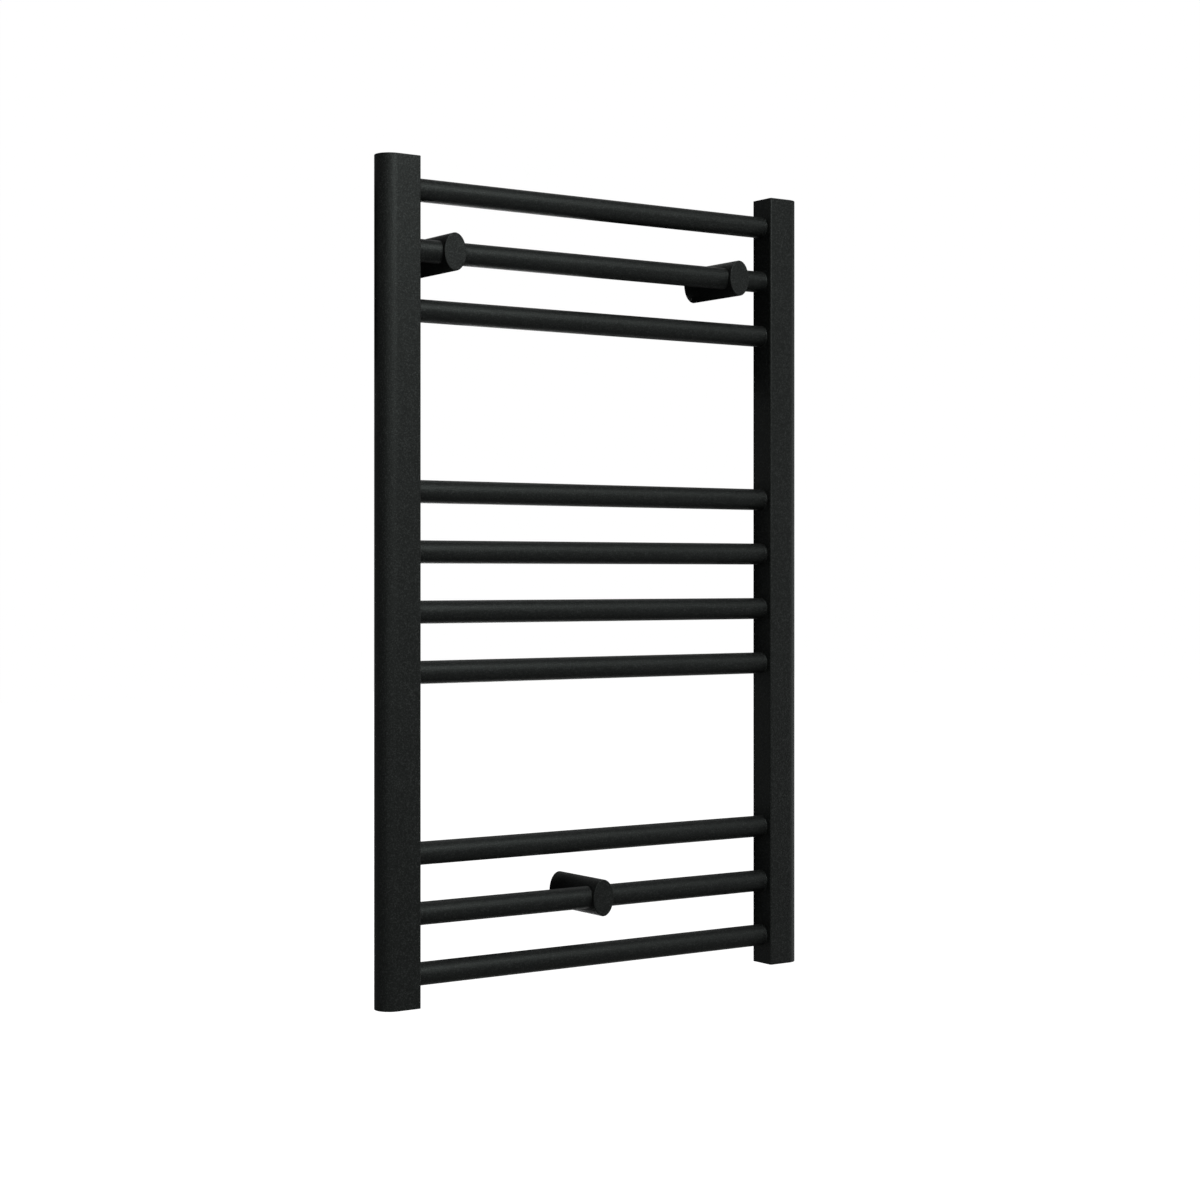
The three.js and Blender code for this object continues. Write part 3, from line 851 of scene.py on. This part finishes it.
def make_vent_spindle():
    """Square-ended brass screw in the vent's middle."""
    name = "vent_spindle"
    at = centre_of("vent_boss")
    start, end = SPINDLE_LOW.y, SPINDLE_HIGH.y
    half = (SPINDLE_HIGH.x - SPINDLE_LOW.x) / 2
    stem_radius = half - SPINDLE_CLEARANCE
    front = end - SQUARE_LENGTH
    profile = [(start, SPINDLE_TIP), (start + SPINDLE_CONE, stem_radius), (front, stem_radius)]
    stem = turned(f"{name}_stem", "y", at, profile, FINE)
    square = loft("square", [
        square_loop(at, front, half - SQUARE_EASE),
        square_loop(at, front + SQUARE_EASE, half),
        square_loop(at, end - SQUARE_EDGE, half),
        square_loop(at, end, half - SQUARE_EDGE),
    ])
    carve(stem, square, operation="UNION")
    return finish_piece(stem, name, body=name)


# ---------------------------------------------------------------- build

for side, word in ((-1, "left"), (1, "right")):
    make_upright(side, word)
    make_top_plate(side, word)
    make_port_plug(side, word)
for bar in BAR_NAMES:
    make_bar(bar)
for bracket in BRACKETS:
    make_bracket(bracket)
make_boss("vent_boss")
make_boss("blanking_boss")
make_seal("vent_seal")
make_seal("blanking_seal")
make_blanking_plug()
make_vent_body()
make_vent_nozzle()
make_vent_spindle()

# ---------------------------------------------------------------- studio

FLOOR_Z = -1.2
FLOOR_REACH = 24.0
STAGE_RADIUS = 40.0
AMBIENT = 0.104
KEY_AT = Vector((0.15, -2.6, 2.35))
KEY_SIZE = (1.3, 1.3)
KEY_POWER = 49.8
FILL_AT = Vector((2.3, -0.3, 0.1))
FILL_SIZE = (2.0, 1.6)
FILL_POWER = 5.4
RIM_LOW_AT = Vector((0.9, 1.5, -1.1))
RIM_HIGH_AT = Vector((1.0, 1.5, 1.9))
RIM_SIZE = (1.5, 1.0)
RIM_POWER = 2.3
SIDE_AT = Vector((-1.7, -1.9, 0.7))
SIDE_SIZE = (0.6, 0.5)
SIDE_POWER = 2.2
BACK_AT = Vector((1.0, 2.3, -0.5))
BACK_SIZE = (0.9, 1.0)
BACK_POWER = 12.0
FLAG_REACH = 0.13
FLAG_HEIGHT = 0.07
FLAG_DROP = 0.09
FLAG_TAIL = 0.05
FLAG_Y = 2 * MM
BAR_GROUPS = ((1, 3), (4, 7), (8, 10))
# a card's ends, in x from the right upright's inner face and in y from its back
CARD_NEAR = (5 * MM, 34 * MM)
CARD_FAR = (-28 * MM, 13 * MM)
WHITE = (1.0, 1.0, 1.0, 1.0)
BLACK = (0.0, 0.0, 0.0, 1.0)
FLOOR_COLOUR = (0.8, 0.8, 0.8, 1.0)


def stage_material(name, colour, strength):
    material, nodes, links, shader = new_material(name)
    shader.inputs["Base Color"].default_value = colour
    shader.inputs["Roughness"].default_value = 0.9
    shader.inputs["Emission Color"].default_value = WHITE
    shader.inputs["Emission Strength"].default_value = strength
    return material


def only_seen(piece):
    """A stage piece that the camera sees, but that casts no light or shade on the rack."""
    piece.visible_diffuse = False
    piece.visible_glossy = False
    piece.visible_transmission = False
    piece.visible_shadow = False


def stage_piece(mesh, material):
    mesh.materials.append(material)
    piece = bpy.data.objects.new(mesh.name, mesh)
    bpy.context.scene.collection.objects.link(piece)
    return piece


def rectangle(name, corners):
    mesh = bpy.data.meshes.new(name)
    mesh.from_pydata(corners, [], [(0, 1, 2, 3)])
    return mesh


def make_backdrop():
    shape = bmesh.new()
    bmesh.ops.create_uvsphere(shape, u_segments=48, v_segments=24, radius=STAGE_RADIUS)
    mesh = bpy.data.meshes.new("backdrop")
    shape.to_mesh(mesh)
    shape.free()
    only_seen(stage_piece(mesh, stage_material("backdrop", BLACK, 1.0)))


def make_floor():
    half = FLOOR_REACH
    corners = [(-half, -half), (half, -half), (half, half), (-half, half)]
    mesh = rectangle("floor", [(x, y, FLOOR_Z) for x, y in corners])
    only_seen(stage_piece(mesh, stage_material("floor", FLOOR_COLOUR, 1.0)))


def make_flag(name, start, end, below, above):
    """Upright black card between two points in plan, unseen by the camera."""
    corners = [(*start, below), (*end, below), (*end, above), (*start, above)]
    flag = stage_piece(rectangle(name, corners), stage_material("flag", BLACK, 0.0))
    flag.visible_camera = False


def shade_bracket(word):
    """Cards in the wall's plane, left of a bracket and also below the upper two."""
    low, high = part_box(f"sleeve_{word}")
    middle = (low.z + high.z) / 2
    left, right = (low.x - FLAG_REACH, FLAG_Y), (high.x + FLAG_TAIL, FLAG_Y)
    make_flag(f"flag_{word}", left, (low.x, FLAG_Y), middle - FLAG_HEIGHT, middle + FLAG_HEIGHT)
    if word != "lower":
        make_flag(f"flag_{word}_under", left, right, low.z - FLAG_DROP, low.z)


def shade_group(first, last):
    """Card behind the right upright's inner edge, which is dark between the bars of a group."""
    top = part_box(f"bar_{first:02d}")[1].z
    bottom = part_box(f"bar_{last:02d}")[0].z
    low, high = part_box("upright_right")
    near, far = ((low.x + x, high.y + y) for x, y in (CARD_NEAR, CARD_FAR))
    make_flag(f"flag_bars_{first}", far, near, bottom, top)


def area_light(name, at, target, size, power):
    data = bpy.data.lights.new(name, "AREA")
    data.shape = "RECTANGLE"
    data.size, data.size_y = size
    data.energy = power
    light = bpy.data.objects.new(name, data)
    light.location = at
    light.rotation_euler = (target - at).to_track_quat("-Z", "Y").to_euler()
    light.visible_camera = False
    bpy.context.scene.collection.objects.link(light)


def make_world():
    world = bpy.data.worlds.new("studio")
    world.use_nodes = True
    background = world.node_tree.nodes["Background"]
    background.inputs["Color"].default_value = WHITE
    background.inputs["Strength"].default_value = AMBIENT
    bpy.context.scene.world = world


make_backdrop()
make_floor()
make_world()
rack_centre = Vector((0.0, BAR_Y, (TOP + BOTTOM) / 2))
area_light("key", KEY_AT, rack_centre, KEY_SIZE, KEY_POWER)
area_light("fill", FILL_AT, rack_centre, FILL_SIZE, FILL_POWER)
area_light("rim_low", RIM_LOW_AT, rack_centre, RIM_SIZE, RIM_POWER)
area_light("rim_high", RIM_HIGH_AT, rack_centre, RIM_SIZE, RIM_POWER)
area_light("side", SIDE_AT, rack_centre, SIDE_SIZE, SIDE_POWER)
area_light("back", BACK_AT, rack_centre, BACK_SIZE, BACK_POWER)
for bracket in BRACKETS:
    shade_bracket(bracket)
for first_bar, last_bar in BAR_GROUPS:
    shade_group(first_bar, last_bar)
bpy.context.scene.view_settings.view_transform = "Standard"
